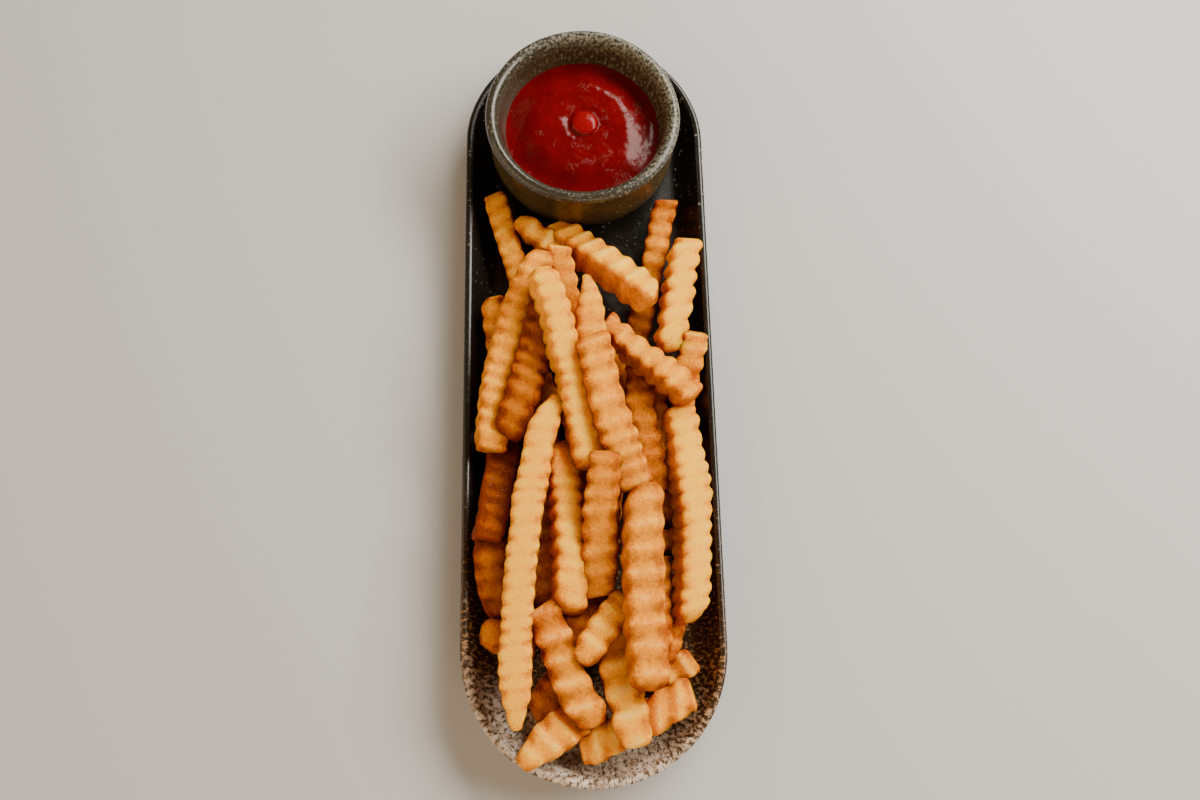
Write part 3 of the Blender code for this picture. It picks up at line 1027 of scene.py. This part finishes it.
def stadiumRing(inset, z):
    # One ring round the plate: half a circle and a straight side, twice.
    form = plateForm
    half = form["width"] / 2
    straight = form["length"] / 2 - half
    fade = max(0.0, 1 - inset / form["unevenReach"])

    def radiusAt(angle):
        return half - inset - abs(ripple(form["unevenSeed"], angle) * form["unevenness"] * fade)

    ring = []
    for sign, start in ((1, 0.0), (-1, math.pi)):
        for i in range(form["endSteps"] + 1):
            angle = start + math.pi * i / form["endSteps"]
            reach = radiusAt(angle)
            ring.append((reach * math.cos(angle), sign * straight + reach * math.sin(angle), z))
        sideX = -sign * radiusAt(start + math.pi)
        for i in range(1, form["sideSteps"]):
            ring.append((sideX, sign * straight * (1 - 2 * i / form["sideSteps"]), z))
    return ring


def makePlate():
    form = plateForm
    profile = plateProfile()
    innerInset = profile[-1][0]
    floorWidth = form["width"] / 2 - form["middleSeam"] - innerInset
    for i in range(1, form["floorRings"] + 1):
        profile.append((innerInset + floorWidth * i / form["floorRings"], form["floorHeight"]))
    rings = [stadiumRing(inset, z) for inset, z in profile]
    count = len(rings[0])
    points = [point for ring in rings for point in ring]
    plate = newMesh("glazedPlate", points, closedRings(len(rings), count))
    setPointValues(plate.data, "inset", np.repeat([inset for inset, z in profile], count))
    outline = runsAlong([(x, y) for x, y, z in rings[0]])
    paintUv(plate.data, outline, runsAlong(profile), count)
    plate.data.materials.append(plateGlaze())
    turnOutward(plate.data)
    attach(plate, "root")
    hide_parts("plate")
    return plate


# The pot.

potForm = {
    "centre": (-0.9 * mm, 95.6 * mm),
    "base": 4.9 * mm,
    "height": 31.3 * mm,
    "rimRadius": 35.9 * mm,
    "lip": 4.6 * mm,
    "wellRadius": 22.5 * mm,
    "wellFloor": 4.0 * mm,
    "wellCurve": 0.55,
    # foot and outer wall, in millimetres: how far in from the rim, and how high above the base
    "outside": ((9.1, 0.0), (7.9, 0.2), (4.6, 3.0), (2.0, 7.2), (1.0, 12.5), (1.2, 20.0), (0.9, 26.2)),
    # rim, in millimetres: how far in from the rim's edge, and how far below its top
    "rim": ((0.0, 2.6), (0.6, 0.8), (1.9, 0.05), (2.9, 0.1), (3.9, 0.7), (4.55, 1.7)),
    "wellDepths": (3.4, 6.5, 10.5, 15.0, 20.5, 25.5),    # in millimetres below the top
    "steps": 200,
    "profileSteps": 5,
    "unevenness": 0.20 * mm,
    "reachSeed": 11,
    "dropSeed": 12,
}


potLook = {
    "toward": (0.75, 0.70),      # the way along X and Y on which the flecks grow denser
    "crowd": (42 * mm, 94 * mm, 0.080, -0.035),
    "drawnOut": 0.42,
    "rim": (30 * mm, 35 * mm),
    "inside": (32.2 * mm, 31.2 * mm, 0.0, 0.55),
    "streakNoise": {"Scale": 700.0, "Detail": 4.0, "Roughness": 0.72},
    "streakLimit": 0.53,
    "streakContrast": 9.0,
    "streakShare": 0.60,
    "fleckNoise": {"Scale": 950.0, "Detail": 4.0, "Roughness": 0.72},
    "fleckLimit": 0.50,
    "fleckContrast": 12.0,
    "cloudy": (90.0, 0.3, 0.7),
    "bodyColours": ((0.034, 0.024, 0.010), (0.072, 0.047, 0.017)),
    "insideColour": (0.014, 0.011, 0.007),
    "streakColour": (0.19, 0.17, 0.11),
    "rimColours": ((0.026, 0.022, 0.014), (0.17, 0.165, 0.120)),
    "shader": {"Roughness": 0.27},
    "bump": {"Strength": 0.4, "Distance": 0.12 * mm},
}


def potGlaze():
    look = potLook
    material, tree, shader = newMaterial("potGlaze")
    coords = objectCoords(tree)
    x, y, z = axes(tree, coords)
    towardX, towardY = look["toward"]
    toward = plus(tree, times(tree, x, towardX), times(tree, y, towardY))
    crowd = span(tree, toward, *look["crowd"])
    squares = [
        calc(tree, "POWER", minus(tree, value, middle), 2.0)
        for value, middle in zip((x, y), potForm["centre"])]
    inside = span(tree, calc(tree, "SQRT", plus(tree, *squares)), *look["inside"])
    streaks = flecked(
        tree, cloud(tree, drawnOutUv(tree, look["drawnOut"]), look["streakNoise"]),
        plus(tree, crowd, look["streakLimit"]), look["streakContrast"])
    flecks = flecked(
        tree, cloud(tree, coords, look["fleckNoise"]),
        plus(tree, crowd, look["fleckLimit"]), look["fleckContrast"])
    body = mixColour(tree, noiseMask(tree, coords, *look["cloudy"]), *look["bodyColours"])
    body = mixColour(tree, inside, body, look["insideColour"])
    streaked = mixColour(
        tree, times(tree, streaks, look["streakShare"]), body, look["streakColour"])
    crown = mixColour(tree, flecks, *look["rimColours"])
    paint(tree, shader, {
        "Base Color": mixColour(tree, span(tree, z, *look["rim"]), streaked, crown),
        "Normal": bumped(tree, flecks, look["bump"]),
        **look["shader"]})
    return material


def wellRadius(z):
    form = potForm
    wide = form["rimRadius"] - form["lip"]
    rise = (z - form["base"] - form["wellFloor"]) / (form["height"] - form["wellFloor"])
    return form["wellRadius"] + (wide - form["wellRadius"]) * rise ** form["wellCurve"]


def potProfile():
    form = potForm
    top = form["base"] + form["height"]
    edge = form["rimRadius"]
    points = [(edge - inset * mm, form["base"] + height * mm) for inset, height in form["outside"]]
    points += [(edge - inset * mm, top - drop * mm) for inset, drop in form["rim"]]
    points += [(wellRadius(top - depth * mm), top - depth * mm) for depth in form["wellDepths"]]
    return smoothThrough(points, form["profileSteps"])


def makePot():
    form = potForm
    profile = potProfile()
    count = form["steps"]
    cx, cy = form["centre"]
    points = []
    for radius, z in profile:
        share = max(0.0, (z - form["base"]) / form["height"])
        for angle in turnAngles(count):
            reach = radius - abs(ripple(form["reachSeed"], angle)) * form["unevenness"] * share
            drop = abs(ripple(form["dropSeed"], angle)) * form["unevenness"] * share ** 4
            points.append((cx + reach * math.cos(angle), cy + reach * math.sin(angle), z - drop))
    pot = newMesh("speckledPot", points, closedRings(len(profile), count))
    outline = [angle * form["rimRadius"] for angle in turnAngles(count)]
    paintUv(pot.data, outline, runsAlong(profile), count)
    pot.data.materials.append(potGlaze())
    turnOutward(pot.data)
    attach(pot, "root")
    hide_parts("pot")
    return pot


# The ketchup.

ketchupForm = {
    "level": 26.9 * mm,
    "edgeDrop": 3.1 * mm,
    "shore": (16.0 * mm, 27.5 * mm),    # where it falls away towards the wall
    "shoreWaves": (2, 3, 5, 9, 13),
    "shoreUnevenness": 0.05,
    "shoreSeed": 31,
    "intoWall": 0.25 * mm,
    "nubHeight": 1.9 * mm,
    "nubRadius": 5.2 * mm,
    "nubFullness": 2.4,
    "nubOffset": (0.7 * mm, 0.9 * mm),
    "nubEdge": (0.8, 1.05),      # in shares of the nub's radius, as are the next two
    "moatRadius": 1.2,
    "moatWidth": 0.25,
    "moatDepth": 0.20 * mm,
    "dentOffset": (-5.6 * mm, 2.6 * mm),
    "dentRadius": 2.4 * mm,
    "dentDepth": 0.60 * mm,
    "swells": ((0.16 * mm, 6.5 * mm), (0.07 * mm, 1.9 * mm)),
    "rings": 120,
    "steps": 240,
    "smallestRing": 0.1 * mm,
    "sideHeights": (20.0 * mm, 15.5 * mm, 11.2 * mm),
    "sideGap": 0.3 * mm,
}


ketchupLook = {
    "cloudy": (140.0, 0.3, 0.7),
    "redColours": ((0.080, 0.0006, 0.0012), (0.125, 0.0010, 0.0018)),
    "pulp": (700.0, 0.55, 0.75),
    "pulpShare": 0.25,
    "pulpColour": (0.30, 0.008, 0.004),
    "nubColour": (0.190, 0.0014, 0.0030),
    "clusters": (170.0, 0.54, 0.66, 2.0),
    "beads": (1300.0, 0.48, 0.62, 4.0),
    "ripples": (330.0, 0.2, 0.8),
    "rippleHeight": 0.3,
    "shader": {
        "Specular IOR Level": 0.14, "Roughness": 0.17, "Subsurface Weight": 0.08,
        "Subsurface Radius": (1.0, 0.10, 0.05),
        "Subsurface Scale": 1.0 * mm},
    "bump": {"Strength": 0.6, "Distance": 0.16 * mm},
}


def ketchupRed():
    look = ketchupLook
    material, tree, shader = newMaterial("ketchupRed")
    coords = objectCoords(tree)

    def mask(name):
        return noiseMask(tree, coords, *look[name])

    pulp = times(tree, mask("pulp"), look["pulpShare"])
    colour = mixColour(tree, mask("cloudy"), *look["redColours"])
    colour = mixColour(tree, pulp, colour, look["pulpColour"])
    colour = mixColour(tree, attribute(tree, "onNub"), colour, look["nubColour"])
    beads = times(tree, mask("beads"), mask("clusters"))
    height = plus(tree, times(tree, mask("ripples"), look["rippleHeight"]), beads)
    paint(tree, shader, {
        "Base Color": colour,
        "Normal": bumped(tree, height, look["bump"]),
        **look["shader"]})
    return material


def ketchupHeight(x, y):
    # A nearly flat top with a small blob, falling away in a soft step towards the wall.
    form = ketchupForm
    uneven = ripple(form["shoreSeed"], math.atan2(y, x), form["shoreWaves"])
    radius = math.hypot(x, y) * (1 + form["shoreUnevenness"] * uneven)
    height = form["level"] - form["edgeDrop"] * eased(*form["shore"], radius)
    nx, ny = form["nubOffset"]
    off = math.hypot(x - nx, y - ny) / form["nubRadius"]
    height += form["nubHeight"] * math.sqrt(max(0.0, 1 - off ** form["nubFullness"]))
    moat = (off - form["moatRadius"]) / form["moatWidth"]
    height -= form["moatDepth"] * math.exp(-moat ** 2)
    dx, dy = form["dentOffset"]
    dent = math.hypot(x - nx - dx, y - ny - dy) / form["dentRadius"]
    height -= form["dentDepth"] * math.exp(-dent ** 2)
    for swell, size in form["swells"]:
        height += swell * noise.noise(Vector((x, y, 0)) / size)
    return height


def makeKetchup():
    form = ketchupForm
    cx, cy = potForm["centre"]
    count = form["steps"]
    edge = wellRadius(form["level"] - form["edgeDrop"]) + form["intoWall"]
    points = []
    for ring in range(form["rings"] + 1):
        reach = max(form["smallestRing"], edge * ring / form["rings"])
        for angle in turnAngles(count):
            x = reach * math.cos(angle)
            y = reach * math.sin(angle)
            points.append((cx + x, cy + y, ketchupHeight(x, y)))
    for z in form["sideHeights"]:
        reach = wellRadius(z) - form["sideGap"]
        for angle in turnAngles(count):
            points.append((cx + reach * math.cos(angle), cy + reach * math.sin(angle), z))
    ringCount = form["rings"] + 1 + len(form["sideHeights"])
    ketchup = newMesh("potOfKetchup", points, closedRings(ringCount, count))
    nx, ny = form["nubOffset"]
    onNub = []
    for x, y, z in points:
        off = math.hypot(x - cx - nx, y - cy - ny) / form["nubRadius"]
        onNub.append(1 - eased(*form["nubEdge"], off) if z > form["level"] else 0.0)
    setPointValues(ketchup.data, "onNub", onNub)
    ketchup.data.materials.append(ketchupRed())
    turnOutward(ketchup.data)
    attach(ketchup, "root")
    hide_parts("ketchup")
    return ketchup


placeCamera()
lightStudio()
layFloor()
print("camera, floor and lights are set")
plate = makePlate()
pot = makePot()
makeKetchup()
print("plate, pot and ketchup are made")
makeFries([plate, pot])
print("fries are made")
